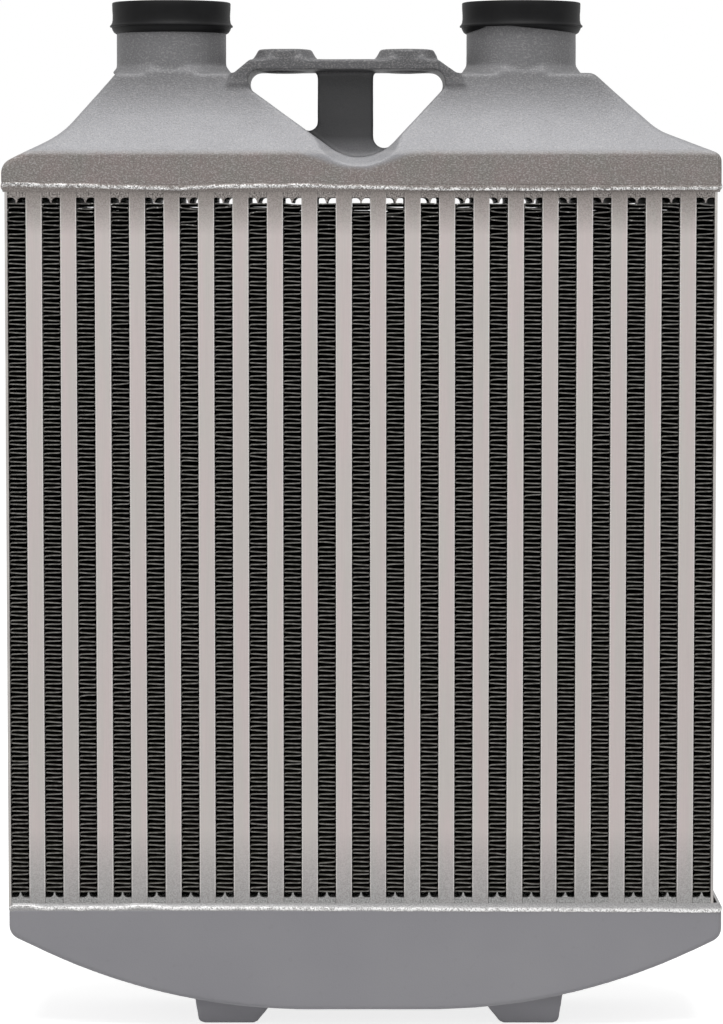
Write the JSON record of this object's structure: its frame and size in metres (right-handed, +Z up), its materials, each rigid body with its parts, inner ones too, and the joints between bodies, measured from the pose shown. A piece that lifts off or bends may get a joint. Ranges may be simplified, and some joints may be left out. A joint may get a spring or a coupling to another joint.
{
  "type": "bar-and-plate intercooler",
  "caption": "Two-pass air-to-air charge cooler: brazed bar-and-plate core between two cast aluminium tanks, both ports and a bridging mount strap on the top tank.",
  "frame": {"origin": "middle of the part at the height its two feet stand on, halfway through its depth", "axes": "+Z up towards the ports, +X to the right seen from the front, front face towards -Y"},
  "size_m": [0.3714, 0.0908, 0.5304],
  "materials": {
    "sand_cast_aluminium": "sand-cast, blasted, slightly grained",
    "return_tank_casting": "smooth satin casting",
    "weld_aluminium": "bright rippled weld",
    "core_bar": "brazed satin bar stock",
    "core_header": "brazed extruded bar",
    "core_side": "brazed sheet",
    "ambient_fin": "thin black-coated folded strip",
    "turbulator": "thin folded strip",
    "collar_rubber": "moulded black rubber, soft sheen"
  },
  "bodies": {
    "root": {"top_tank": "sand_cast_aluminium", "bottom_tank": "return_tank_casting", "top_weld_bead": "weld_aluminium", "bottom_weld_bead": "weld_aluminium", "left_port_collar": "collar_rubber", "right_port_collar": "collar_rubber", "left_side_plate": "core_side", "right_side_plate": "core_side", "top_header_bars": "core_header", "bottom_header_bars": "core_header", "left_pass_turbulators": "turbulator", "right_pass_turbulators": "turbulator", "ambient_fin_01": "ambient_fin", "ambient_fin_02": "ambient_fin", "ambient_fin_03": "ambient_fin", "ambient_fin_04": "ambient_fin", "ambient_fin_05": "ambient_fin", "ambient_fin_06": "ambient_fin", "ambient_fin_07": "ambient_fin", "ambient_fin_08": "ambient_fin", "ambient_fin_09": "ambient_fin", "ambient_fin_10": "ambient_fin", "ambient_fin_11": "ambient_fin", "ambient_fin_12": "ambient_fin", "ambient_fin_13": "ambient_fin", "ambient_fin_14": "ambient_fin", "ambient_fin_15": "ambient_fin", "ambient_fin_16": "ambient_fin", "ambient_fin_17": "ambient_fin", "ambient_fin_18": "ambient_fin", "ambient_fin_19": "ambient_fin", "ambient_fin_20": "ambient_fin", "ambient_fin_21": "ambient_fin", "charge_tube_01": "core_bar", "charge_tube_02": "core_bar", "charge_tube_03": "core_bar", "charge_tube_04": "core_bar", "charge_tube_05": "core_bar", "charge_tube_06": "core_bar", "charge_tube_07": "core_bar", "charge_tube_08": "core_bar", "charge_tube_09": "core_bar", "charge_tube_10": "core_bar", "charge_tube_11": "core_bar", "charge_tube_12": "core_bar", "charge_tube_13": "core_bar", "charge_tube_14": "core_bar", "charge_tube_15": "core_bar", "charge_tube_16": "core_bar", "charge_tube_17": "core_bar", "charge_tube_18": "core_bar", "charge_tube_19": "core_bar", "charge_tube_20": "core_bar"}
  },
  "joints": []
}
